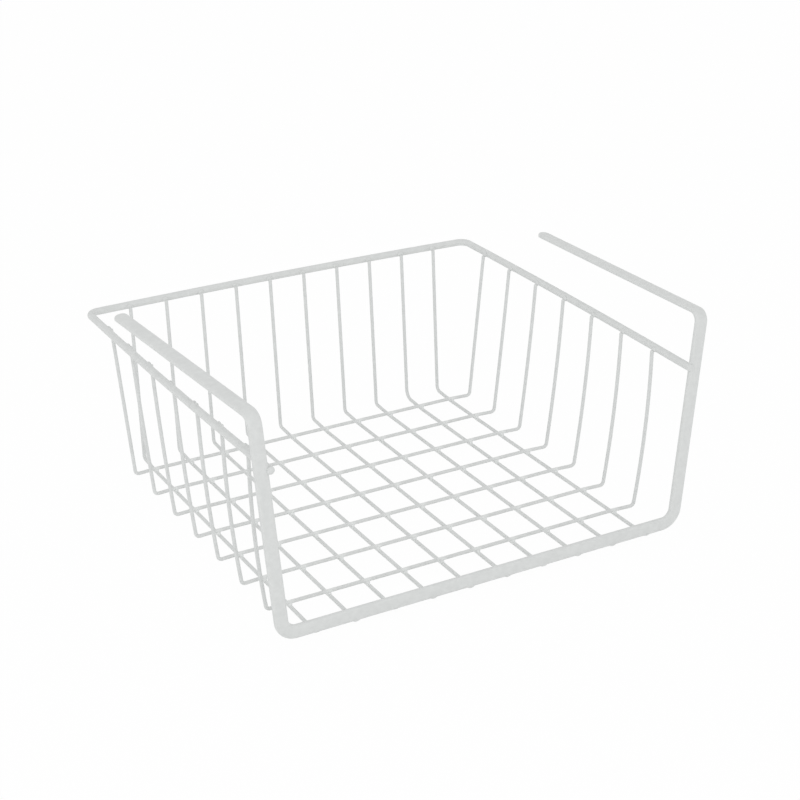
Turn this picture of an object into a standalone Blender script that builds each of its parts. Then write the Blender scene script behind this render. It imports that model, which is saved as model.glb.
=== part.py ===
"""Under shelf basket of welded and coated steel.

One flat bar is bent into the front bar, the two uprights and the two arms that slide
over a shelf board. A round rod makes the rim. Long wires run from under the front bar
along the floor and up the back wall, and cross wires make the floor and both side walls.
X runs across the basket, Y from the open front to the back, and Z up.
"""

import math

import bmesh
import bpy
from mathutils import Vector

# Flat bar, rod and wire. Round sizes are diameters across the flats of their facets
STRIP_WIDTH = 0.0080
STRIP_THICKNESS = 0.0034
RIM_ROD = 0.0045
WIRE = 0.0022

# The welds press the wires and the rim into the edges of the bar, and every joint
# keeps this gap in place of its weld
WIRE_SINK = 0.0006
RIM_SINK = 0.0015
WELD_GAP = 0.0003

# Hanging frame, measured between the bar's centre lines
FRAME_BASE_WIDTH = 0.2594
FRAME_RISE = 0.1306
UPRIGHT_SPREAD = 0.0118
UPRIGHT_SETBACK = 0.0013
ARM_REACH = 0.1719
ARM_SPLAY = 0.0044
ARM_DROP = 0.0044
BASE_BEND = 0.0090
TOP_BEND = 0.0060

# Rim, measured between the rod's centre lines, with its depth at the back corners
RIM_DEPTH = 0.2520
RIM_RISE = 0.0989
RIM_SPREAD = 0.0070
RIM_SIDE_BOW = 0.0015
RIM_BACK_BOW = 0.0029
RIM_BEND = 0.0065
RIM_OVERHANG = 0.0015

# Long wires, which make the floor and the back wall
LONG_WIRE_COUNT = 10
LONG_WIRE_INSET = 0.0198
LONG_WIRE_SETBACK = 0.0010
LONG_WIRE_BEND = 0.0032
BACK_LEAN = 0.0099

# Cross wires, which make the floor and the side walls
CROSS_WIRE_COUNT = 7
CROSS_WIRE_INSET = 0.0057
CROSS_FRONT_MARGIN = 0.0318
CROSS_BACK_MARGIN = 0.0201
CROSS_WIRE_BEND = 0.0040
FRONT_BOW = 0.0021
TIP_DROP = 0.0004

# Facets round a rod, in multiples of four so that a flat can face down, those of the
# bar's round edges, in odd numbers for the same reason, and the steps along each piece
RIM_SIDES = 16
WIRE_SIDES = 12
EDGE_STEPS = 5
NOTCH_STEPS = 6
STRIP_BEND_STEPS = 10
ROD_BEND_STEPS = 8
WIRE_BEND_STEPS = 5
STRIP_TIP_STEPS = 6
TIP_STEPS = 4
LEG_STEPS = 5
RIM_SIDE_STEPS = 8
RIM_BACK_STEPS = 8
TIP_LENGTH_SHARE = 0.7
TIP_ANGLE = math.radians(78)
SHARP_ANGLE = math.radians(40)

COATING_COLOUR = (0.66, 0.68, 0.67)
COATING_ROUGHNESS = 0.45
COATING_METALLIC = 0.0

# How far a rod's centre line lies from the bar's, where the rod sinks into its edge
WIRE_SEAT = STRIP_WIDTH / 2 + WIRE / 2 - WIRE_SINK
RIM_SEAT = STRIP_WIDTH / 2 + RIM_ROD / 2 - RIM_SINK

# Heights of the centre lines above the surface that the floor wires stand on
LONG_Z = WIRE / 2
CROSS_Z = LONG_Z + WIRE + WELD_GAP
BAR_Z = LONG_Z + WIRE_SEAT
RIM_Z = BAR_Z + RIM_RISE
ARM_Z = BAR_Z + FRAME_RISE

# Widths between centre lines, worked out from the width of the frame's base
FRAME_TOP_WIDTH = FRAME_BASE_WIDTH + 2 * UPRIGHT_SPREAD
ARM_TIP_WIDTH = FRAME_TOP_WIDTH + 2 * ARM_SPLAY
RIM_BACK_WIDTH = FRAME_BASE_WIDTH + 2 * RIM_SPREAD
CROSS_FLOOR_WIDTH = FRAME_BASE_WIDTH - 2 * CROSS_WIRE_INSET
UPRIGHT_LEAN = math.atan2(UPRIGHT_SPREAD, FRAME_RISE)

# Depths behind the front bar's centre line
RIM_WELD_DEPTH = UPRIGHT_SETBACK * RIM_RISE / FRAME_RISE
RIM_END_DEPTH = RIM_WELD_DEPTH - STRIP_THICKNESS / 2 - RIM_OVERHANG
BACK_FOOT_DEPTH = RIM_DEPTH - BACK_LEAN

# Spacing of the wires
LONG_WIRE_PITCH = (FRAME_BASE_WIDTH - 2 * LONG_WIRE_INSET) / (LONG_WIRE_COUNT - 1)
CROSS_SPAN = BACK_FOOT_DEPTH - CROSS_FRONT_MARGIN - CROSS_BACK_MARGIN
CROSS_WIRE_PITCH = CROSS_SPAN / (CROSS_WIRE_COUNT - 1)

# The front bar's place, with the origin midway between the front and the back
FRONT_REACH = max(STRIP_THICKNESS / 2, -RIM_END_DEPTH)
BAR_Y = (FRONT_REACH - RIM_DEPTH - RIM_BACK_BOW - RIM_ROD / 2) / 2


def upright_half_width(rise):
    """Half the distance between the uprights at a height above the front bar."""
    return FRAME_BASE_WIDTH / 2 + UPRIGHT_SPREAD * rise / FRAME_RISE


def rim_half_width(depth):
    """Half the rim's width at a depth: bowed sides that start at the uprights' edges."""
    front = upright_half_width(RIM_RISE) - RIM_SEAT / math.cos(UPRIGHT_LEAN)
    share = (depth - RIM_WELD_DEPTH) / (RIM_DEPTH - RIM_WELD_DEPTH)
    bow = RIM_SIDE_BOW * 4 * share * (1 - share)
    return front + (RIM_BACK_WIDTH / 2 - front) * share + bow


def rim_back_depth(x):
    """Depth of the rim's bowed back, which lies furthest back in the middle."""
    return RIM_DEPTH + RIM_BACK_BOW * (1 - (2 * x / RIM_BACK_WIDTH) ** 2)


def long_wire_x(index):
    return (index - (LONG_WIRE_COUNT - 1) / 2) * LONG_WIRE_PITCH


def bend(before, corner, after, radius, steps):
    """Points of the arc that rounds one corner of a route."""
    back = (before - corner).normalized()
    ahead = (after - corner).normalized()
    half_angle = back.angle(ahead) / 2
    centre = corner + (back + ahead).normalized() * radius / math.sin(half_angle)
    reach = radius / math.tan(half_angle)
    first = (corner + back * reach - centre).normalized()
    last = (corner + ahead * reach - centre).normalized()
    return [centre + first.slerp(last, step / steps) * radius for step in range(steps + 1)]


def rounded_route(corners, bends, steps):
    """The route through the corners, with an arc at each corner that bends names."""
    route = []
    for index, corner in enumerate(corners):
        if index in bends:
            route += bend(corners[index - 1], corner, corners[index + 1], bends[index], steps)
        else:
            route.append(corner)
    return route


def tip_points(end, inner, radius, steps):
    """Points and width shares of a rounded tip, from the end towards the inner point."""
    along = (inner - end).normalized()
    points = []
    for step in range(steps):
        angle = TIP_ANGLE * (1 - step / (steps - 1))
        distance = radius * TIP_LENGTH_SHARE * (1 - math.sin(angle))
        points.append((end + along * distance, math.cos(angle)))
    return points


def material(name):
    coating = bpy.data.materials.new(name)
    coating.use_nodes = True
    shader = coating.node_tree.nodes["Principled BSDF"]
    shader.inputs["Base Color"].default_value = (*COATING_COLOUR, 1)
    shader.inputs["Roughness"].default_value = COATING_ROUGHNESS
    shader.inputs["Metallic"].default_value = COATING_METALLIC
    return coating


def rod_curve(name, route, diameter, sides, coating):
    """A round rod with rounded tips along the route, turned so that a flat faces down."""
    radius = diameter / 2
    start = tip_points(route[0], route[1], radius, TIP_STEPS)
    finish = tip_points(route[-1], route[-2], radius, TIP_STEPS)
    middle = [(point, 1) for point in route[1:-1]]
    stations = start + middle + finish[::-1]

    curve = bpy.data.curves.new(name, "CURVE")
    curve.dimensions = "3D"
    curve.bevel_depth = radius / math.cos(math.pi / sides)
    curve.bevel_resolution = (sides - 4) // 2
    curve.use_fill_caps = True
    spline = curve.splines.new("POLY")
    spline.points.add(len(stations) - 1)
    for point, (station, share) in zip(spline.points, stations):
        point.co = (*station, 1)
        point.radius = share
        point.tilt = math.pi / sides
    curve.materials.append(coating)
    return curve


def place(name, data, location, assembly):
    part = bpy.data.objects.new(name, data)
    part.location = location
    part.parent = assembly
    bpy.context.scene.collection.objects.link(part)
    return part


def notch(rod, sink):
    """Offsets along the bar and depths of a notch round a rod that sinks into its edge."""
    height = rod / 2 - sink
    clear = rod / 2 + WELD_GAP
    radius = clear / math.cos(math.acos(height / clear) / NOTCH_STEPS)
    reach = math.acos(height / radius)
    points = []
    for step in range(NOTCH_STEPS + 1):
        angle = reach * (2 * step / NOTCH_STEPS - 1)
        points.append((radius * math.sin(angle), radius * math.cos(angle) - height))
    return points


def side_stations(side):
    """Stations of one side of the frame, from its base bend up and back to its arm's tip.

    A station holds a point, the share of the bar's width there, and how deep its inner
    and its outer edge are cut.
    """
    middle = Vector((0, 0, BAR_Z))
    foot = Vector((side * FRAME_BASE_WIDTH / 2, 0, BAR_Z))
    top = Vector((side * FRAME_TOP_WIDTH / 2, UPRIGHT_SETBACK, ARM_Z))
    tip = Vector((side * ARM_TIP_WIDTH / 2, ARM_REACH, ARM_Z - ARM_DROP))

    weld_rise = RIM_RISE - RIM_SEAT * math.sin(UPRIGHT_LEAN)
    weld = foot.lerp(top, weld_rise / FRAME_RISE)
    up = (top - foot).normalized()

    stations = [(point, 1, 0, 0) for point in bend(middle, foot, top, BASE_BEND, STRIP_BEND_STEPS)]
    stations += [(weld + up * offset, 1, depth, 0) for offset, depth in notch(RIM_ROD, RIM_SINK)]
    stations += [(point, 1, 0, 0) for point in bend(foot, top, tip, TOP_BEND, STRIP_BEND_STEPS)]
    end = tip_points(tip, top, STRIP_WIDTH / 2, STRIP_TIP_STEPS)
    stations += [(point, share, 0, 0) for point, share in end[::-1]]
    return stations


def bar_stations():
    """Stations of the front bar, with a notch in its lower edge over each long wire."""
    stations = []
    for index in range(LONG_WIRE_COUNT):
        for offset, depth in notch(WIRE, WIRE_SINK):
            stations.append((Vector((long_wire_x(index) + offset, 0, BAR_Z)), 1, 0, depth))
    return stations


def strip_outline(share, inner_cut, outer_cut):
    """Two flats joined by half-round edges, as offsets across and through the bar."""
    radius = STRIP_THICKNESS / 2
    reach = STRIP_WIDTH / 2 - radius
    outline = []
    for side, cut in ((1, inner_cut), (-1, outer_cut)):
        for step in range(EDGE_STEPS + 1):
            angle = math.pi * (step / EDGE_STEPS - 1 / 2)
            round_off = radius * math.cos(angle) / math.cos(math.pi / EDGE_STEPS / 2)
            across = side * (reach - cut + round_off) * share
            outline.append((across, side * radius * math.sin(angle)))
    return outline


def strip_directions(points):
    """The bar's directions along and across at each point, carried from its middle.

    The bar stands on edge in the middle, so the base bends turn it on edge and the top
    bends turn it on the flat, which lays the arms down.
    """
    alongs = []
    for index, point in enumerate(points):
        back = (point - points[max(index - 1, 0)]).normalized()
        ahead = (points[min(index + 1, len(points) - 1)] - point).normalized()
        alongs.append((back + ahead).normalized())
    middle = len(points) // 2
    acrosses = [Vector((0, 0, 1))] * len(points)
    for order in (range(middle, len(points)), range(middle - 1, -1, -1)):
        across = acrosses[middle]
        for index in order:
            across = (across - alongs[index] * across.dot(alongs[index])).normalized()
            acrosses[index] = across
    return list(zip(alongs, acrosses))


def strip_mesh(name, stations, coating):
    """A flat bar with half-round edges, swept through the stations."""
    directions = strip_directions([station[0] for station in stations])
    shape = bmesh.new()
    rings = []
    for (point, share, inner_cut, outer_cut), (along, across) in zip(stations, directions):
        through = along.cross(across)
        outline = strip_outline(share, inner_cut, outer_cut)
        rings.append([shape.verts.new(point + across * a + through * t) for a, t in outline])
    for ring, following in zip(rings, rings[1:]):
        for index in range(len(ring)):
            shape.faces.new((ring[index - 1], ring[index], following[index], following[index - 1]))
    shape.faces.new(rings[0])
    shape.faces.new(rings[-1])
    bmesh.ops.recalc_face_normals(shape, faces=shape.faces)
    mesh = bpy.data.meshes.new(name)
    shape.to_mesh(mesh)
    shape.free()
    mesh.shade_smooth()
    mesh.set_sharp_from_angle(angle=SHARP_ANGLE)
    mesh.materials.append(coating)
    return mesh


def hanging_frame(coating, assembly):
    """Arms, uprights and front bar in one bent flat bar."""
    stations = side_stations(-1)[::-1] + bar_stations() + side_stations(1)
    mesh = strip_mesh("hanging_frame", stations, coating)
    place("hanging_frame", mesh, (0, BAR_Y, 0), assembly)


def rim_side(side):
    """Points of one side of the rim, from its front end to its back corner."""
    points = []
    for step in range(RIM_SIDE_STEPS + 1):
        depth = RIM_END_DEPTH + (RIM_DEPTH - RIM_END_DEPTH) * step / RIM_SIDE_STEPS
        points.append(Vector((side * rim_half_width(depth), depth - RIM_DEPTH, 0)))
    return points


def rim_back():
    """Points of the rim's back, between its two corners."""
    points = []
    for step in range(1, RIM_BACK_STEPS):
        x = RIM_BACK_WIDTH * (step / RIM_BACK_STEPS - 1 / 2)
        points.append(Vector((x, rim_back_depth(x) - RIM_DEPTH, 0)))
    return points


def basket_rim(coating, assembly):
    """Top rod round both sides and the back, open at the front."""
    corners = rim_side(-1) + rim_back() + rim_side(1)[::-1]
    bends = {RIM_SIDE_STEPS: RIM_BEND, RIM_SIDE_STEPS + RIM_BACK_STEPS: RIM_BEND}
    route = rounded_route(corners, bends, ROD_BEND_STEPS)
    curve = rod_curve("basket_rim", route, RIM_ROD, RIM_SIDES, coating)
    place("basket_rim", curve, (0, BAR_Y + RIM_DEPTH, RIM_Z), assembly)


def long_wires(coating, assembly):
    """Wires from under the front bar to the inner side of the back rim."""
    rim_seat = RIM_ROD / 2 + WELD_GAP + WIRE / 2
    for index in range(LONG_WIRE_COUNT):
        x = long_wire_x(index)
        corners = [
            Vector((0, LONG_WIRE_SETBACK - STRIP_THICKNESS / 2, LONG_Z)),
            Vector((0, BACK_FOOT_DEPTH, LONG_Z)),
            Vector((0, rim_back_depth(x) - rim_seat, RIM_Z - TIP_DROP)),
        ]
        route = rounded_route(corners, {1: LONG_WIRE_BEND}, WIRE_BEND_STEPS)
        name = f"long_wire_{index + 1:02d}"
        curve = rod_curve(name, route, WIRE, WIRE_SIDES, coating)
        place(name, curve, (x, BAR_Y, 0), assembly)


def side_leg(side, depth, bow):
    """Corner points of one side of a cross wire, from its tip down to its floor corner."""
    rim_seat = RIM_ROD / 2 + WELD_GAP + WIRE / 2
    foot = Vector((side * CROSS_FLOOR_WIDTH / 2, 0, CROSS_Z))
    tip = Vector((side * (rim_half_width(depth) - rim_seat), 0, RIM_Z - TIP_DROP))
    points = []
    for step in range(LEG_STEPS + 1):
        share = step / LEG_STEPS
        outward = Vector((side * bow * 4 * share * (1 - share), 0, 0))
        points.append(tip.lerp(foot, share) + outward)
    return points


def cross_wires(coating, assembly):
    """Wires over the long ones, up both sides to the inner side of the rim."""
    for index in range(CROSS_WIRE_COUNT):
        depth = CROSS_FRONT_MARGIN + index * CROSS_WIRE_PITCH
        bow = FRONT_BOW * (1 - index / (CROSS_WIRE_COUNT - 1))
        corners = side_leg(-1, depth, bow) + side_leg(1, depth, bow)[::-1]
        bends = {LEG_STEPS: CROSS_WIRE_BEND, LEG_STEPS + 1: CROSS_WIRE_BEND}
        route = rounded_route(corners, bends, WIRE_BEND_STEPS)
        name = f"cross_wire_{index + 1}"
        curve = rod_curve(name, route, WIRE, WIRE_SIDES, coating)
        place(name, curve, (0, BAR_Y + depth, 0), assembly)


def clear_scene():
    for item in list(bpy.data.objects):
        bpy.data.objects.remove(item, do_unlink=True)


def main():
    clear_scene()
    assembly = bpy.data.objects.new("under_shelf_basket", None)
    bpy.context.scene.collection.objects.link(assembly)
    hanging_frame(material("frame_coating"), assembly)
    basket_rim(material("rim_coating"), assembly)
    long_wires(material("long_wire_coating"), assembly)
    cross_wires(material("cross_wire_coating"), assembly)


if __name__ == "__main__":
    main()
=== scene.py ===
"""Looks of an under shelf basket: flat steel bar, rod and wire, spot welded and powder coated.

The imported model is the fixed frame. The bar, the rim and each wire get a smoother swept
mesh in its place, and each spot weld a small mound that the coating has rounded over.
"""

import math

import bmesh
import bpy
from bpy.props import (
    FloatProperty,
    FloatVectorProperty,
    IntProperty,
    PointerProperty,
    StringProperty,
)
from mathutils import Matrix, Vector, kdtree, noise


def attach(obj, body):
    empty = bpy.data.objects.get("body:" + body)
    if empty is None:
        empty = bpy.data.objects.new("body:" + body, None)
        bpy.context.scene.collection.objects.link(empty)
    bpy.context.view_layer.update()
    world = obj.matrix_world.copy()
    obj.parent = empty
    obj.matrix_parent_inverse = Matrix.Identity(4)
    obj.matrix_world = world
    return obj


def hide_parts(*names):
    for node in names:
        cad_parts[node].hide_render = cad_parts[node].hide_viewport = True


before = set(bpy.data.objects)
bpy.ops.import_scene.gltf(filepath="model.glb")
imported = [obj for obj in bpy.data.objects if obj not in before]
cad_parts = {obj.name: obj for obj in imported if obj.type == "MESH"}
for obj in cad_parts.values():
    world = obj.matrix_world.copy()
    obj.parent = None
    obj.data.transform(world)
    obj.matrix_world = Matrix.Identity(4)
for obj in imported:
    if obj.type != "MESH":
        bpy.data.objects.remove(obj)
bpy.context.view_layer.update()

bl_info = {
    "name": "Under Shelf Basket",
    "version": (1, 0, 0),
    "blender": (4, 5, 0),
    "location": "View3D > Sidebar > Basket",
    "description": "Dresses the welded wire basket and sets its stage",
    "category": "Object",
}

BODY = "root"
UP = Vector((0, 0, 1))

# Millimetres, as lens sizes are given for
SENSOR_WIDTH = 36

# Points on a bend, on a bowed stretch and on a rounded tip
BAR_BEND_STEPS = 16
RIM_BEND_STEPS = 20
WIRE_BEND_STEPS = 10
RIM_BOW_STEPS = 8
WALL_BOW_STEPS = 12
TIP_STEPS = 7

# Points round a section
BAR_SIDES = 48
RIM_SIDES = 28
WIRE_SIDES = 16

# Metres between the points on a long stretch
BAR_SPACING = 0.003
RIM_SPACING = 0.002
WIRE_SPACING = 0.0015

# The bar's tips grow thinner towards the end: the thickness left there, and the share of the
# width at which the thickness is whole again
TIP_THICKNESS_SHARE = 0.72
TIP_WHOLE_SHARE = 2 / 3

# The long wires aren't cut or bent quite the same: how far each one reaches under the front
# bar, and how soft its bend at the foot of the back wall is
OVERLAP_SHARES = (0.2, 0.85, 0.2, 0.75, 1.0, 0.8, 0.8, 0.85, 0.9, 0.6)
BEND_SHARES = (1, 1, 1, 1, 1, 1, 1, 1, 2.6, 1.6)

# Half sizes of the weld mounds across, along and up: shares of the wire's diameter, and at
# the rim's ends of the rim rod's
FLOOR_WELD_SHARES = (0.62, 0.95, 0.46)
BAR_WELD_SHARES = (1.15, 0.60, 0.55)
RIM_WELD_SHARES = (0.85, 0.50, 0.74)
RIM_END_WELD_SHARES = (0.30, 0.40, 0.58)

# Places of the mounds, as shares of the wire's diameter: above the front bar's lower edge,
# ahead of its centre line, and below the rim's centre line
BAR_WELD_RISE_SHARE = 0.15
BAR_WELD_AHEAD_SHARE = 0.1
RIM_WELD_DROP_SHARE = 0.08

# How deep the mound at a rim's end lies in the upright's edge, as a share of the rim's sink
RIM_END_DEPTH_SHARE = 0.2

# Waves that make a mound uneven: their depth, how close together they lie, and the step to
# the waves of the next mound
WAVE_DEPTH_SHARE = 0.10
WAVE_RATE = 1.3
WAVE_STEPS = (3.7, 1.9, 0.0)


# Sizes and colours that a user may change

def length(name, description, default):
    """A size in metres."""
    return FloatProperty(
        name=name, description=description, default=default,
        min=0.0, precision=5, unit="LENGTH", subtype="DISTANCE",
    )


def count(name, description, default):
    """A number of wires."""
    return IntProperty(name=name, description=description, default=default, min=2)


def paint(name, description, default):
    """A colour, as the sRGB hex value of a paint chart."""
    return StringProperty(name=name, description=description, default=default)


def factor(name, description, default):
    """A value from 0 to 1."""
    return FloatProperty(
        name=name, description=description, default=default,
        min=0.0, max=1.0, subtype="FACTOR",
    )


class RodSizes(bpy.types.PropertyGroup):
    """Sections and bends of the flat bar, the rim and the wires."""

    bar_width: length("Bar width", "Width of the hanging frame's flat bar", 0.0080)
    bar_thickness: length("Bar thickness", "Thickness of the flat bar", 0.0034)
    squareness: FloatProperty(
        name="Squareness", description="2 for an oval bar, more for flatter faces",
        default=3.4, min=2.0,
    )
    rim_rod: length("Rim rod", "Diameter of the rim's rod", 0.0045)
    wire: length("Wire", "Diameter of the floor and wall wires", 0.0022)
    wire_sink: length("Wire sink", "How far the welds press a wire into the bar's edge", 0.0006)
    rim_sink: length("Rim sink", "How far the welds press the rim into an upright's edge", 0.0015)
    weld_gap: length("Weld gap", "Space between welded wires that a mound fills", 0.0003)
    base_bend: length("Base bend", "Bend at the feet of the uprights", 0.0090)
    top_bend: length("Top bend", "Bend between an upright and its arm", 0.0060)
    rim_bend: length("Rim bend", "Bend at the rim's back corners", 0.0065)
    rise_bend: length("Rise bend", "Bend where a long wire starts to rise", 0.0220)
    long_bend: length("Long wire bend", "Bend at the foot of the back wall", 0.0025)
    cross_bend: length("Cross wire bend", "Bend at the foot of a side wall", 0.0026)
    tip_share: factor("Tip share", "Length of a rounded tip as a share of its half width", 0.7)


class BasketSizes(bpy.types.PropertyGroup):
    """Outline of the basket, between the centre lines of bar, rim and wires."""

    base_width: length("Base width", "Width of the frame at the front bar", 0.2594)
    frame_rise: length("Frame rise", "Height of the arms above the front bar", 0.1306)
    upright_spread: length("Upright spread", "How far an upright leans outward", 0.0118)
    upright_setback: length("Upright setback", "How far an upright leans back", 0.0013)
    arm_reach: length("Arm reach", "Length of the arms behind the front bar", 0.1719)
    arm_splay: length("Arm splay", "How far an arm opens towards its tip", 0.0044)
    arm_drop: length("Arm drop", "How far an arm sags at its tip", 0.0044)
    rim_depth: length("Rim depth", "Depth from the front bar to the back corners", 0.2520)
    rim_rise: length("Rim rise", "Height of the rim above the front bar", 0.0989)
    rim_spread: length("Rim spread", "Each side of the rim's back outside the base", 0.0070)
    side_bow: length("Side bow", "Outward bow of the rim's sides", 0.0015)
    back_bow: length("Back bow", "Outward bow of the rim's back", 0.0029)
    rim_overhang: length("Rim overhang", "The rim's ends ahead of the uprights' faces", 0.00146)
    long_count: count("Long wires", "Wires from front to back", 10)
    long_inset: length("Long wire inset", "Outermost long wire inside the base", 0.0198)
    long_foot_rise: length("Long wire rise", "Rise from the last cross wire to the foot", 0.0012)
    long_setback: length("Long wire setback", "Longest tips behind the front bar's face", 0.0025)
    back_lean: length("Back lean", "How far the back wall leans outward", 0.0099)
    cross_count: count("Cross wires", "Wires from side to side", 7)
    cross_inset: length("Cross wire inset", "Foot of a side wall inside the base", 0.0057)
    cross_foot_drop: length("Cross wire drop", "Fall from the last long wire to the foot", 0.0007)
    cross_front: length("Front margin", "First cross wire behind the front bar", 0.0318)
    cross_back: length("Back margin", "Last cross wire before the back wall", 0.0201)
    front_bow: length("Front bow", "Outward bow of the foremost side wires", 0.0021)
    tip_drop: length("Tip drop", "Wire tips below the rim's centre line", 0.0004)


class CoatingLook(bpy.types.PropertyGroup):
    """Colour and surface of the cured powder coating, and the painted shade and light round the
    welds.
    """

    grey: paint("Grey", "Colour of the coating", "#D8DAD9")
    thick_grey: paint("Thick grey", "Colour where the powder lies thicker", "#DFE1E0")
    mottle_size: length("Mottle size", "Spacing of thick and thin places", 0.0040)
    thin_share: factor("Thin share", "Level of the mottle where the coating is thin", 0.30)
    thick_share: factor("Thick share", "Level of the mottle where it is thick", 0.70)
    # Painted shade: a slightly darker grey painted close round the upper welds, standing in for
    # the shade in their corners
    painted_shade_grey: paint("Crevice grey", "Colour close round the welds", "#D6D8D7")
    painted_shade_reach: length("Crevice reach", "How far a weld darkens the coating", 0.0020)
    # Painted light: a much lighter grey painted round each floor weld, which lightens the shade
    # where the wires cross
    painted_light_grey: paint("Pooled grey", "Colour where the powder pooled", "#F0F2F1")
    painted_light_reach: length("Pool reach", "How far the powder pooled round a floor weld", 0.0044)
    sheen_roughness: factor("Sheen roughness", "Satin sheen of the coating", 0.55)
    sheen_spread: factor("Sheen spread", "More or less of it in thin and thick places", 0.05)
    peel_size: length("Peel size", "Spacing of the orange peel", 0.0016)
    peel_height: length("Peel height", "Height of the orange peel", 0.00002)


class StageLook(bpy.types.PropertyGroup):
    """Floor, light and camera."""

    floor_white: paint("Floor white", "Colour of the floor", "#FDFDFD")
    floor_size: length("Floor size", "Length of the floor's sides", 8.0)
    floor_glow: factor("Floor glow", "Share of plain white that the camera sees", 0.96)
    low_light: factor("Low light", "Light from the tent's sides", 0.96)
    top_light: factor("Top light", "Weaker light from the tent's roof", 0.74)
    key_power: FloatProperty(
        name="Key power", description="Soft light close by on the left",
        default=0.30, min=0.0, unit="POWER",
    )
    key_size: length("Key size", "Length of the key light's sides", 0.5)
    key_place: FloatVectorProperty(
        name="Key place", description="Where the key light hangs",
        default=(-0.75, -0.15, 0.45), subtype="TRANSLATION",
    )
    front_power: FloatProperty(
        name="Front power", description="Soft light over the camera",
        default=2.4, min=0.0, unit="POWER",
    )
    front_size: length("Front size", "Length of the front light's sides", 0.5)
    front_place: FloatVectorProperty(
        name="Front place", description="Where the front light hangs",
        default=(-0.50, -1.50, 0.85), subtype="TRANSLATION",
    )
    camera_place: FloatVectorProperty(
        name="Camera place", description="Where the camera stands",
        default=(-0.476475, -0.863260, 0.508055), subtype="TRANSLATION",
    )
    camera_aim: FloatVectorProperty(
        name="Camera aim", description="Direction in which the camera looks",
        default=(0.450849, 0.792430, -0.410839), subtype="DIRECTION",
    )
    camera_roll: FloatProperty(
        name="Camera roll", description="Turn of the camera round its aim",
        default=0.000533, subtype="ANGLE",
    )
    camera_lens: FloatProperty(
        name="Lens", description="Focal length on a 36 mm sensor", default=80.001, min=1.0,
    )


def bow_share(share):
    """How much of a bow shows at a share of its length: none at the ends, all halfway."""
    return 4 * share * (1 - share)


class Layout:
    """Centre lines of the rods and wires, worked out from the sizes."""

    def __init__(self, scene):
        rods, size = scene.basket_rods, scene.basket_sizes
        self.rods, self.size = rods, size
        self.long_z = rods.wire / 2
        self.cross_z = self.long_z + rods.wire + rods.weld_gap
        self.bar_z = self.long_z + (rods.bar_width + rods.wire) / 2 - rods.wire_sink
        self.rim_z = self.bar_z + size.rim_rise
        self.arm_z = self.bar_z + size.frame_rise
        self.lean = math.atan2(size.upright_spread, size.frame_rise)
        weld_depth = size.upright_setback * size.rim_rise / size.frame_rise
        end_depth = weld_depth - rods.bar_thickness / 2 - size.rim_overhang
        front_reach = max(rods.bar_thickness / 2, -end_depth)
        self.bar_y = (front_reach - size.rim_depth - size.back_bow - rods.rim_rod / 2) / 2
        self.rim_weld_y = self.bar_y + weld_depth
        self.rim_end_y = self.bar_y + end_depth
        self.corner_y = self.bar_y + size.rim_depth
        self.tip_seat = rods.rim_rod / 2 + rods.weld_gap + rods.wire / 2
        self.foot_y = self.corner_y - size.back_lean
        self.side_foot = size.base_width / 2 - size.cross_inset

    def upright_x(self, rise):
        """Half the distance between the uprights at a height above the front bar."""
        size = self.size
        return size.base_width / 2 + size.upright_spread * rise / size.frame_rise

    def rim_x(self, y):
        """Half the rim's width at y: its sides bow outward between uprights and corners."""
        rods, size = self.rods, self.size
        seat = (rods.bar_width + rods.rim_rod) / 2 - rods.rim_sink
        front = self.upright_x(size.rim_rise) - seat / math.cos(self.lean)
        back = size.base_width / 2 + size.rim_spread
        share = (y - self.rim_weld_y) / (self.corner_y - self.rim_weld_y)
        return front + (back - front) * share + size.side_bow * bow_share(share)

    def back_y(self, x):
        """Where the rim's back lies at x: it bows outward between the corners."""
        half = self.size.base_width / 2 + self.size.rim_spread
        return self.corner_y + self.size.back_bow * (1 - (x / half) ** 2)

    def long_x(self, index):
        """Where a long wire lies between left and right."""
        span = self.size.base_width - 2 * self.size.long_inset
        return (index / (self.size.long_count - 1) - 0.5) * span

    def overlap_share(self, index):
        """How far a long wire reaches under the front bar."""
        return OVERLAP_SHARES[index % len(OVERLAP_SHARES)]

    def long_tip_y(self, index):
        """Where a long wire ends under the front bar."""
        face_y = self.bar_y - self.rods.bar_thickness / 2
        shortfall = (1 - self.overlap_share(index)) * self.rods.wire / 2
        return face_y + self.size.long_setback + shortfall

    def cross_y(self, index):
        """Where a cross wire lies between front and back."""
        first = self.bar_y + self.size.cross_front
        last = self.foot_y - self.size.cross_back
        return first + (last - first) * index / (self.size.cross_count - 1)


# Centre lines

def bend_points(before, corner, after, radius, steps):
    """Points of the arc that rounds one corner."""
    back = (before - corner).normalized()
    ahead = (after - corner).normalized()
    half_angle = back.angle(ahead) / 2
    centre = corner + (back + ahead).normalized() * radius / math.sin(half_angle)
    reach = radius / math.tan(half_angle)
    first = (corner + back * reach - centre).normalized()
    last = (corner + ahead * reach - centre).normalized()
    return [centre + first.slerp(last, step / steps) * radius for step in range(steps + 1)]


def rounded_route(corners, bends, steps):
    """The route through the corners, with an arc at each corner that bends names."""
    route = []
    for index, corner in enumerate(corners):
        if index in bends:
            before, after = corners[index - 1], corners[index + 1]
            route += bend_points(before, corner, after, bends[index], steps)
        else:
            route.append(corner)
    return route


def evenly(route, spacing):
    """The same route with points added on its long stretches."""
    points = [route[0]]
    for start, end in zip(route, route[1:]):
        steps = max(1, round((end - start).length / spacing))
        points += [start.lerp(end, step / steps) for step in range(1, steps + 1)]
    return points


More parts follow.
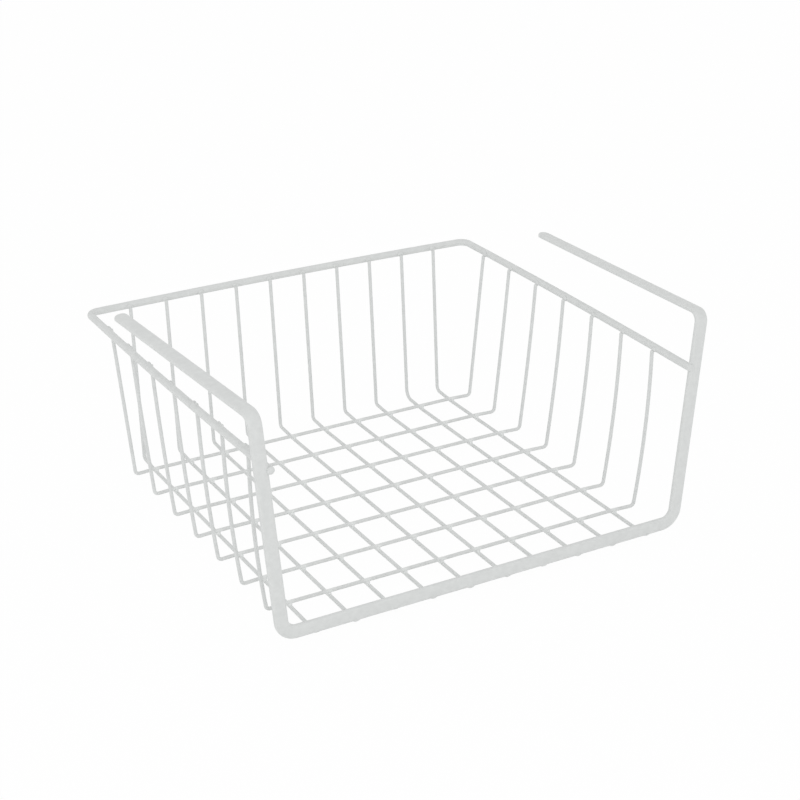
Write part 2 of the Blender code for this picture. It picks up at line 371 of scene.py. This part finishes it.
def frame_route(lay):
    """Arm, upright, front bar, upright and arm in one line."""
    size, rods = lay.size, lay.rods
    top_x = lay.upright_x(size.frame_rise)
    tip_x = top_x + size.arm_splay
    tip_z = lay.arm_z - size.arm_drop
    halves = []
    for side in (-1, 1):
        halves.append([
            Vector((side * tip_x, lay.bar_y + size.arm_reach, tip_z)),
            Vector((side * top_x, lay.bar_y + size.upright_setback, lay.arm_z)),
            Vector((side * size.base_width / 2, lay.bar_y, lay.bar_z)),
        ])
    bends = {1: rods.top_bend, 2: rods.base_bend, 3: rods.base_bend, 4: rods.top_bend}
    return rounded_route(halves[0] + halves[1][::-1], bends, BAR_BEND_STEPS)


def rim_route(lay):
    """Side, back and side of the rim, open at the front."""
    steps = RIM_BOW_STEPS
    sides = []
    for side in (-1, 1):
        points = []
        for step in range(steps + 1):
            y = lay.rim_end_y + (lay.corner_y - lay.rim_end_y) * step / steps
            points.append(Vector((side * lay.rim_x(y), y, lay.rim_z)))
        sides.append(points)
    back = []
    for step in range(1, steps):
        x = lay.rim_x(lay.corner_y) * (2 * step / steps - 1)
        back.append(Vector((x, lay.back_y(x), lay.rim_z)))
    corners = sides[0] + back + sides[1][::-1]
    bends = {steps: lay.rods.rim_bend, len(corners) - 1 - steps: lay.rods.rim_bend}
    return rounded_route(corners, bends, RIM_BEND_STEPS)


def long_route(lay, index):
    """Floor and back wall stretches of one long wire."""
    x = lay.long_x(index)
    foot_bend = lay.rods.long_bend * BEND_SHARES[index % len(BEND_SHARES)]
    corners = [
        Vector((x, lay.long_tip_y(index), lay.long_z)),
        Vector((x, lay.cross_y(lay.size.cross_count - 1), lay.long_z)),
        Vector((x, lay.foot_y, lay.long_z + lay.size.long_foot_rise)),
        Vector((x, lay.back_y(x) - lay.tip_seat, lay.rim_z - lay.size.tip_drop)),
    ]
    return rounded_route(corners, {1: lay.rods.rise_bend, 2: foot_bend}, WIRE_BEND_STEPS)


def cross_route(lay, index):
    """Side, floor and side of one cross wire; the foremost ones bow outward."""
    y = lay.cross_y(index)
    tip_x = lay.rim_x(y) - lay.tip_seat
    tip_z = lay.rim_z - lay.size.tip_drop
    bow = lay.size.front_bow * (1 - index / (lay.size.cross_count - 1))
    steps = WALL_BOW_STEPS
    legs = []
    for side in (-1, 1):
        foot = Vector((side * lay.side_foot, y, lay.cross_z - lay.size.cross_foot_drop))
        tip = Vector((side * tip_x, y, tip_z))
        leg = []
        for step in range(steps + 1):
            share = step / steps
            outward = side * bow * bow_share(share)
            leg.append(tip.lerp(foot, share) + Vector((outward, 0, 0)))
        leg.append(Vector((side * lay.long_x(lay.size.long_count - 1), y, lay.cross_z)))
        legs.append(leg)
    corners = legs[0] + legs[1][::-1]
    bends = {steps: lay.rods.cross_bend, len(corners) - 1 - steps: lay.rods.cross_bend}
    return rounded_route(corners, bends, WIRE_BEND_STEPS)


# Meshes

def tip_stations(end, inner, radius, tip_share):
    """Centres and radii of a rounded tip, from its end inwards."""
    along = (inner - end).normalized()
    stations = []
    for step in range(1, TIP_STEPS + 1):
        angle = math.pi / 2 * (1 - step / TIP_STEPS)
        reach = radius * tip_share * (1 - math.sin(angle))
        stations.append((end + along * reach, radius * math.cos(angle)))
    return stations


def rod_stations(route, radius, tip_share):
    """Centres and radii all along a rod with two rounded tips."""
    first = tip_stations(route[0], route[1], radius, tip_share)
    last = tip_stations(route[-1], route[-2], radius, tip_share)
    return first + [(point, radius) for point in route[1:-1]] + last[::-1]


def skin(mesh, rings, ends):
    """Joins the rings of points with faces and closes both ends."""
    made = [[mesh.verts.new(point) for point in ring] for ring in rings]
    sides = len(made[0])
    for ring, following in zip(made, made[1:]):
        for side in range(sides):
            after = (side + 1) % sides
            mesh.faces.new((ring[side], ring[after], following[after], following[side]))
    for ring, end, turn in ((made[0], ends[0], -1), (made[-1], ends[1], 1)):
        centre = mesh.verts.new(end)
        for side in range(sides):
            after = (side + 1) % sides
            mesh.faces.new((ring[side], ring[after], centre)[::turn])


def directions(centres):
    """Unit directions along the line of centres, each halfway between its neighbours'."""
    alongs = []
    for index, centre in enumerate(centres):
        back = (centre - centres[max(index - 1, 0)]).normalized()
        ahead = (centres[min(index + 1, len(centres) - 1)] - centre).normalized()
        alongs.append((back + ahead).normalized())
    return alongs


def round_rod(mesh, route, radius, tip_share, sides):
    """Adds a round rod with rounded tips along the route to the mesh."""
    stations = rod_stations(route, radius, tip_share)
    centres = [centre for centre, _ in stations]
    across = UP.cross(centres[1] - centres[0]).normalized()
    rings = []
    for (centre, size), along in zip(stations, directions(centres)):
        across = (across - along * across.dot(along)).normalized()
        down = along.cross(across)
        ring = []
        for side in range(sides):
            angle = 2 * math.pi * side / sides
            ring.append(centre + (across * math.cos(angle) + down * math.sin(angle)) * size)
        rings.append(ring)
    skin(mesh, rings, (route[0], route[-1]))


def bar_outline(rods):
    """The bar's section: round wire rolled flat, which leaves its faces a little crowned."""
    outline = []
    for side in range(BAR_SIDES):
        angle = 2 * math.pi * side / BAR_SIDES
        shares = []
        for part in (math.cos(angle), math.sin(angle)):
            shares.append(math.copysign(abs(part) ** (2 / rods.squareness), part))
        outline.append((shares[0] * rods.bar_width / 2, shares[1] * rods.bar_thickness / 2))
    return outline


def flat_bar(mesh, route, rods):
    """Adds the flat bar to the mesh: it stands on edge along the front, and lies flat
    in the arms, whose tips are rounded like a tongue."""
    half = rods.bar_width / 2
    stations = rod_stations(route, half, rods.tip_share)
    centres = [centre for centre, _ in stations]
    alongs = directions(centres)
    middle = len(centres) // 2
    acrosses = [UP] * len(centres)
    for order in (range(middle, len(centres)), range(middle - 1, -1, -1)):
        across = acrosses[middle]
        for index in order:
            across = (across - alongs[index] * across.dot(alongs[index])).normalized()
            acrosses[index] = across
    outline = bar_outline(rods)
    rings = []
    for (centre, width), along, across in zip(stations, alongs, acrosses):
        through = along.cross(across)
        width_share = width / half
        whole_share = min(1, width_share / TIP_WHOLE_SHARE)
        thick_share = TIP_THICKNESS_SHARE + (1 - TIP_THICKNESS_SHARE) * whole_share
        ring = []
        for wide, thick in outline:
            ring.append(centre + across * wide * width_share + through * thick * thick_share)
        rings.append(ring)
    skin(mesh, rings, (route[0], route[-1]))


def weld_mound(mesh, weld, seed):
    """Adds one spot weld to the mesh: an uneven lens that fills the corners of a crossing."""
    centre, axes, sizes = weld
    turned = Matrix([axis * size for axis, size in zip(axes, sizes)]).transposed()
    shift = Vector([seed * step for step in WAVE_STEPS])
    made = bmesh.ops.create_icosphere(mesh, subdivisions=3, radius=1.0)
    for vert in made["verts"]:
        wave = noise.noise(vert.co * WAVE_RATE + shift)
        vert.co = centre + turned @ (vert.co * (1 + WAVE_DEPTH_SHARE * wave))


def finish_piece(name, mesh, material, nodes, light_and_shade_maps):
    """Turns the mesh into a named piece that stands for the given nodes."""
    bmesh.ops.recalc_face_normals(mesh, faces=mesh.faces)
    data = bpy.data.meshes.new(name)
    mesh.to_mesh(data)
    mesh.free()
    data.shade_smooth()
    data.materials.append(material)
    # Painted shade and painted light: how close each point lies to the welds, kept for the
    # material
    for attribute, closeness in light_and_shade_maps.items():
        values = data.attributes.new(attribute, "FLOAT", "POINT")
        values.data.foreach_set("value", [closeness(vert.co) for vert in data.vertices])
    piece = bpy.data.objects.new(name, data)
    bpy.context.scene.collection.objects.link(piece)
    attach(piece, BODY)
    if nodes:
        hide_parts(*nodes)


# Spot welds: a centre, the directions of its axes and its half sizes along them

def floor_welds(lay):
    """A weld at each crossing of a long wire and a cross wire."""
    height = (lay.long_z + lay.cross_z) / 2
    sizes = [lay.rods.wire * share for share in FLOOR_WELD_SHARES]
    welds = []
    for across in range(lay.size.long_count):
        for back in range(lay.size.cross_count):
            centre = Vector((lay.long_x(across), lay.cross_y(back), height))
            welds.append((centre, Matrix.Identity(3), sizes))
    return welds


def bar_welds(lay):
    """A low, broad weld where each long wire is pressed into the front bar's lower edge."""
    wire = lay.rods.wire
    y = lay.bar_y - wire * BAR_WELD_AHEAD_SHARE
    height = lay.bar_z - lay.rods.bar_width / 2 + wire * BAR_WELD_RISE_SHARE
    width, depth, rise = [wire * share for share in BAR_WELD_SHARES]
    welds = []
    for across in range(lay.size.long_count):
        centre = Vector((lay.long_x(across), y, height))
        sizes = (width, depth, rise * lay.overlap_share(across))
        welds.append((centre, Matrix.Identity(3), sizes))
    return welds


def rim_welds(lay):
    """A weld between each wire's tip and the inner side of the rim."""
    wire = lay.rods.wire
    inward = (lay.rods.rim_rod + lay.rods.weld_gap) / 2
    sizes = [wire * share for share in RIM_WELD_SHARES]
    height = lay.rim_z - wire * RIM_WELD_DROP_SHARE
    welds = []
    for across in range(lay.size.long_count):
        x = lay.long_x(across)
        centre = Vector((x, lay.back_y(x) - inward, height))
        welds.append((centre, Matrix.Identity(3), sizes))
    quarter = Matrix.Rotation(math.pi / 2, 3, "Z")
    for back in range(lay.size.cross_count):
        y = lay.cross_y(back)
        for side in (-1, 1):
            centre = Vector((side * (lay.rim_x(y) - inward), y, height))
            welds.append((centre, quarter, sizes))
    return welds


def rim_end_welds(lay):
    """A weld where each end of the rim is pressed into its upright's inner edge."""
    rods = lay.rods
    inward = (rods.bar_width / 2 - rods.rim_sink * RIM_END_DEPTH_SHARE) / math.cos(lay.lean)
    x = lay.upright_x(lay.size.rim_rise) - inward
    sizes = [rods.rim_rod * share for share in RIM_END_WELD_SHARES]
    welds = []
    for side in (-1, 1):
        centre = Vector((side * x, lay.rim_weld_y, lay.rim_z))
        welds.append((centre, Matrix.Identity(3), sizes))
    return welds


def closeness_to(welds, reach):
    """A function that gives how close a point lies to the nearest weld: 1 at its centre,
    fading smoothly to 0 at the reach."""
    tree = kdtree.KDTree(len(welds))
    for index, (centre, _, _) in enumerate(welds):
        tree.insert(centre, index)
    tree.balance()

    def closeness(point):
        _, _, distance = tree.find(point)
        near = max(0.0, 1 - distance / reach)
        return near * near * (3 - 2 * near)

    return closeness


def light_and_shade_finders(scene, lay):
    """Where painted shade darkens the coating round the upper welds, and where painted light
    lightens it round the floor welds.
    """
    look = scene.basket_coating
    upper = bar_welds(lay) + rim_welds(lay) + rim_end_welds(lay)
    return {
        # painted shade close round the welds on the bar and the rim
        "painted_shade": closeness_to(upper, look.painted_shade_reach),
        # painted light round the floor welds, against the shade under each crossing
        "painted_light": closeness_to(floor_welds(lay), look.painted_light_reach),
    }


# Materials

def linear(hex_colour):
    """An sRGB hex value as linear RGBA."""
    channels = [int(hex_colour[start:start + 2], 16) / 255 for start in (1, 3, 5)]
    return (*[c / 12.92 if c <= 0.04045 else ((c + 0.055) / 1.055) ** 2.4 for c in channels], 1)


def add_node(tree, kind, settings=None, inputs=None):
    """Adds a node with its settings, and links or sets its inputs."""
    made = tree.nodes.new(kind)
    for name, value in (settings or {}).items():
        setattr(made, name, value)
    for name, value in (inputs or {}).items():
        if isinstance(value, bpy.types.NodeSocket):
            tree.links.new(value, made.inputs[name])
        else:
            made.inputs[name].default_value = value
    return made


def powder_coated_steel(name, look):
    """Polyester powder, sprayed on steel and baked: an even satin skin with a faint orange peel
    and a touch lighter where the powder lies thick, with painted light round the floor welds that
    lightens the shade under the crossings, and painted shade in the corners of the other welds."""
    if name in bpy.data.materials:
        return bpy.data.materials[name]
    material = bpy.data.materials.new(name)
    material.use_nodes = True
    tree = material.node_tree
    shader = tree.nodes["Principled BSDF"]
    place = add_node(tree, "ShaderNodeTexCoord").outputs["Object"]

    mottle = add_node(tree, "ShaderNodeTexNoise", inputs={
        "Vector": place, "Scale": 1 / look.mottle_size, "Detail": 4.0, "Roughness": 0.6,
    })
    skin_colour = add_node(tree, "ShaderNodeValToRGB", inputs={"Fac": mottle.outputs["Fac"]})
    thin, thick = skin_colour.color_ramp.elements
    thin.position, thin.color = look.thin_share, linear(look.grey)
    thick.position, thick.color = look.thick_share, linear(look.thick_grey)

    colour = skin_colour.outputs["Color"]
    # Painted shade round the upper welds, then painted light round the floor welds
    for attribute, shade in (("painted_shade", look.painted_shade_grey), ("painted_light", look.painted_light_grey)):
        painted_mask = add_node(tree, "ShaderNodeAttribute", {"attribute_name": attribute})
        tint = add_node(
            tree, "ShaderNodeMix", {"data_type": "RGBA"}, {"Factor": painted_mask.outputs["Fac"]})
        before, tone = [socket for socket in tint.inputs if socket.type == "RGBA"]
        tree.links.new(colour, before)
        tone.default_value = linear(shade)
        colour = next(socket for socket in tint.outputs if socket.type == "RGBA")
    tree.links.new(colour, shader.inputs["Base Color"])

    satin = add_node(tree, "ShaderNodeMapRange", inputs={
        "Value": mottle.outputs["Fac"],
        "To Min": look.sheen_roughness + look.sheen_spread,
        "To Max": look.sheen_roughness - look.sheen_spread,
    })
    tree.links.new(satin.outputs["Result"], shader.inputs["Roughness"])

    peel = add_node(tree, "ShaderNodeTexNoise", inputs={
        "Vector": place, "Scale": 1 / look.peel_size, "Detail": 1.0,
    })
    bump = add_node(tree, "ShaderNodeBump", inputs={
        "Strength": 1.0, "Distance": look.peel_height, "Height": peel.outputs["Fac"],
    })
    tree.links.new(bump.outputs["Normal"], shader.inputs["Normal"])
    shader.inputs["Metallic"].default_value = 0.0
    shader.inputs["IOR"].default_value = 1.5
    return material


def seen_directly(tree):
    """A value that is 1 where the eye sees the surface, directly or by way of metal or glass."""
    path = add_node(tree, "ShaderNodeLightPath")
    glossy = add_node(tree, "ShaderNodeMath", {"operation": "MAXIMUM"})
    tree.links.new(path.outputs["Is Camera Ray"], glossy.inputs[0])
    tree.links.new(path.outputs["Is Glossy Ray"], glossy.inputs[1])
    through = add_node(tree, "ShaderNodeMath", {"operation": "MAXIMUM"})
    tree.links.new(glossy.outputs[0], through.inputs[0])
    tree.links.new(path.outputs["Is Transmission Ray"], through.inputs[1])
    return through.outputs[0]


def white_floor(look):
    """Matt white laminate under even light: the eye sees nearly plain white, with no gloss
    and a faint soft shadow."""
    material = bpy.data.materials.new("matt_white_laminate")
    material.use_nodes = True
    tree = material.node_tree
    tree.nodes.clear()
    glow_share = add_node(tree, "ShaderNodeMapRange", inputs={
        "Value": seen_directly(tree), "To Max": look.floor_glow,
    })
    matt = add_node(tree, "ShaderNodeBsdfDiffuse", inputs={"Color": linear(look.floor_white)})
    glow = add_node(tree, "ShaderNodeEmission", inputs={"Color": (1, 1, 1, 1), "Strength": 1.0})
    both = add_node(tree, "ShaderNodeMixShader", inputs={"Fac": glow_share.outputs["Result"]})
    tree.links.new(matt.outputs[0], both.inputs[1])
    tree.links.new(glow.outputs[0], both.inputs[2])
    add_node(tree, "ShaderNodeOutputMaterial", inputs={"Surface": both.outputs[0]})
    return material


def white_world(look):
    """A light tent: plain white to the eye, a little weaker as a light, most of all above."""
    world = bpy.data.worlds.new("light_tent")
    world.use_nodes = True
    tree = world.node_tree
    tree.nodes.clear()
    direction = add_node(tree, "ShaderNodeTexCoord").outputs["Generated"]
    height = add_node(tree, "ShaderNodeSeparateXYZ", inputs={"Vector": direction}).outputs["Z"]
    light = add_node(tree, "ShaderNodeMapRange", inputs={
        "Value": height, "To Min": look.low_light, "To Max": look.top_light,
    })
    level = add_node(tree, "ShaderNodeMapRange", inputs={
        "Value": seen_directly(tree), "To Min": light.outputs["Result"], "To Max": 1.0,
    })
    sky = add_node(tree, "ShaderNodeBackground", inputs={
        "Color": (1, 1, 1, 1), "Strength": level.outputs["Result"],
    })
    add_node(tree, "ShaderNodeOutputWorld", inputs={"Surface": sky.outputs[0]})
    return world


# Wires of one kind

def wire_pieces(scene, kind, routes, digits):
    """Makes a piece along each route for the wires of one kind, numbered from 1 with so
    many digits."""
    lay = Layout(scene)
    light_and_shade_maps = light_and_shade_finders(scene, lay)
    material = powder_coated_steel("powder_coated_wire", scene.basket_coating)
    for index, route in enumerate(routes):
        mesh = bmesh.new()
        points = evenly(route, WIRE_SPACING)
        round_rod(mesh, points, lay.rods.wire / 2, lay.rods.tip_share, WIRE_SIDES)
        number = str(index + 1).zfill(digits)
        finish_piece(
            f"{kind}_rod_{number}", mesh, material,
            [f"{kind}_wire_{number}"], light_and_shade_maps,
        )


# Floor, lights and camera

def floor_plane(scene, look):
    """A large square floor that the basket stands on."""
    half = look.floor_size / 2
    mesh = bmesh.new()
    corners = ((-half, -half), (half, -half), (half, half), (-half, half))
    mesh.faces.new([mesh.verts.new((x, y, 0)) for x, y in corners])
    data = bpy.data.meshes.new("floor")
    mesh.to_mesh(data)
    mesh.free()
    data.materials.append(white_floor(look))
    floor = bpy.data.objects.new("floor", data)
    scene.collection.objects.link(floor)


def soft_light(scene, name, power, size, place):
    """A square soft light that faces the middle of the basket's floor."""
    lamp = bpy.data.lights.new(name, "AREA")
    lamp.shape = "SQUARE"
    lamp.size = size
    lamp.energy = power
    light = bpy.data.objects.new(name, lamp)
    light.location = place
    light.rotation_euler = (-Vector(place)).to_track_quat("-Z", "Y").to_euler()
    scene.collection.objects.link(light)


def aimed_camera(scene, look):
    """The camera, at the photograph's viewing angle."""
    lens = bpy.data.cameras.new("camera")
    lens.sensor_width = SENSOR_WIDTH
    lens.lens = look.camera_lens
    lens.clip_end = look.floor_size * 2
    camera = bpy.data.objects.new("camera", lens)
    aim = Vector(look.camera_aim).normalized()
    turn = Matrix.Rotation(look.camera_roll, 3, aim)
    right = turn @ aim.cross(UP).normalized()
    above = right.cross(aim)
    axes = Matrix((right, above, -aim)).transposed().to_4x4()
    camera.matrix_world = Matrix.Translation(look.camera_place) @ axes
    scene.collection.objects.link(camera)
    return camera


# One operator for each piece or group of like pieces

class BASKET_OT_flat_bar(bpy.types.Operator):
    """Arms, uprights and front bar, bent from one flat bar"""

    bl_idname = "basket.flat_bar"
    bl_label = "Hanging frame"

    def execute(self, context):
        scene = context.scene
        lay = Layout(scene)
        mesh = bmesh.new()
        flat_bar(mesh, evenly(frame_route(lay), BAR_SPACING), lay.rods)
        finish_piece(
            "bent_flat_bar", mesh, powder_coated_steel("powder_coated_bar", scene.basket_coating),
            ["hanging_frame"], light_and_shade_finders(scene, lay),
        )
        return {"FINISHED"}


class BASKET_OT_rim_rod(bpy.types.Operator):
    """Top rod round the sides and the back"""

    bl_idname = "basket.rim_rod"
    bl_label = "Rim"

    def execute(self, context):
        scene = context.scene
        lay = Layout(scene)
        mesh = bmesh.new()
        route = evenly(rim_route(lay), RIM_SPACING)
        round_rod(mesh, route, lay.rods.rim_rod / 2, lay.rods.tip_share, RIM_SIDES)
        finish_piece(
            "rim_rod", mesh, powder_coated_steel("powder_coated_rod", scene.basket_coating),
            ["basket_rim"], light_and_shade_finders(scene, lay),
        )
        return {"FINISHED"}


class BASKET_OT_long_wires(bpy.types.Operator):
    """Wires along the floor and up the back wall"""

    bl_idname = "basket.long_wires"
    bl_label = "Long wires"

    def execute(self, context):
        lay = Layout(context.scene)
        routes = [long_route(lay, index) for index in range(lay.size.long_count)]
        wire_pieces(context.scene, "long", routes, 2)
        return {"FINISHED"}


class BASKET_OT_cross_wires(bpy.types.Operator):
    """Wires across the floor and up both side walls"""

    bl_idname = "basket.cross_wires"
    bl_label = "Cross wires"

    def execute(self, context):
        lay = Layout(context.scene)
        routes = [cross_route(lay, index) for index in range(lay.size.cross_count)]
        wire_pieces(context.scene, "cross", routes, 1)
        return {"FINISHED"}


class BASKET_OT_welds(bpy.types.Operator):
    """Spot welds where rods and wires touch"""

    bl_idname = "basket.welds"
    bl_label = "Spot welds"

    def execute(self, context):
        scene = context.scene
        lay = Layout(scene)
        light_and_shade_maps = light_and_shade_finders(scene, lay)
        material = powder_coated_steel("powder_coated_weld", scene.basket_coating)
        groups = (
            ("floor_welds", floor_welds(lay), "cross_wire_coating"),
            ("bar_welds", bar_welds(lay), "long_wire_coating"),
            ("rim_welds", rim_welds(lay), "rim_coating"),
            ("rim_end_welds", rim_end_welds(lay), "frame_coating"),
        )
        for name, welds, slot in groups:
            mesh = bmesh.new()
            for seed, weld in enumerate(welds):
                weld_mound(mesh, weld, seed)
            finish_piece(name, mesh, material, [], light_and_shade_maps)
        return {"FINISHED"}


class BASKET_OT_stage(bpy.types.Operator):
    """White floor, light tent, two soft lights and the camera"""

    bl_idname = "basket.stage"
    bl_label = "Stage"

    def execute(self, context):
        scene = context.scene
        look = scene.basket_stage
        floor_plane(scene, look)
        scene.world = white_world(look)
        soft_light(scene, "soft_key", look.key_power, look.key_size, look.key_place)
        soft_light(scene, "soft_front", look.front_power, look.front_size, look.front_place)
        scene.camera = aimed_camera(scene, look)
        scene.view_settings.view_transform = "Standard"
        return {"FINISHED"}


class BASKET_PT_panel(bpy.types.Panel):
    """Sizes and colours of the basket, and a button for each of its parts"""

    bl_idname = "BASKET_PT_panel"
    bl_label = "Basket"
    bl_space_type = "VIEW_3D"
    bl_region_type = "UI"
    bl_category = "Basket"

    def draw(self, context):
        layout = self.layout
        for group in PROPERTY_GROUPS:
            owner = getattr(context.scene, group)
            box = layout.box()
            for name in owner.bl_rna.properties.keys():
                if name not in ("rna_type", "name"):
                    box.prop(owner, name)
        for operator in OPERATORS:
            layout.operator(operator.bl_idname)


PROPERTY_GROUPS = {
    "basket_rods": RodSizes,
    "basket_sizes": BasketSizes,
    "basket_coating": CoatingLook,
    "basket_stage": StageLook,
}
OPERATORS = (
    BASKET_OT_flat_bar,
    BASKET_OT_rim_rod,
    BASKET_OT_long_wires,
    BASKET_OT_cross_wires,
    BASKET_OT_welds,
    BASKET_OT_stage,
)


def register():
    """Adds the classes and gives each scene its sizes and looks."""
    for group, kind in PROPERTY_GROUPS.items():
        bpy.utils.register_class(kind)
        setattr(bpy.types.Scene, group, PointerProperty(type=kind))
    for kind in (*OPERATORS, BASKET_PT_panel):
        bpy.utils.register_class(kind)


def unregister():
    """Takes away what register added."""
    for kind in (BASKET_PT_panel, *reversed(OPERATORS)):
        bpy.utils.unregister_class(kind)
    for group, kind in PROPERTY_GROUPS.items():
        delattr(bpy.types.Scene, group)
        bpy.utils.unregister_class(kind)


def main():
    """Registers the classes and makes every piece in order."""
    register()
    bpy.ops.basket.flat_bar()
    bpy.ops.basket.rim_rod()
    bpy.ops.basket.long_wires()
    bpy.ops.basket.cross_wires()
    bpy.ops.basket.welds()
    bpy.ops.basket.stage()


if __name__ == "__main__":
    main()
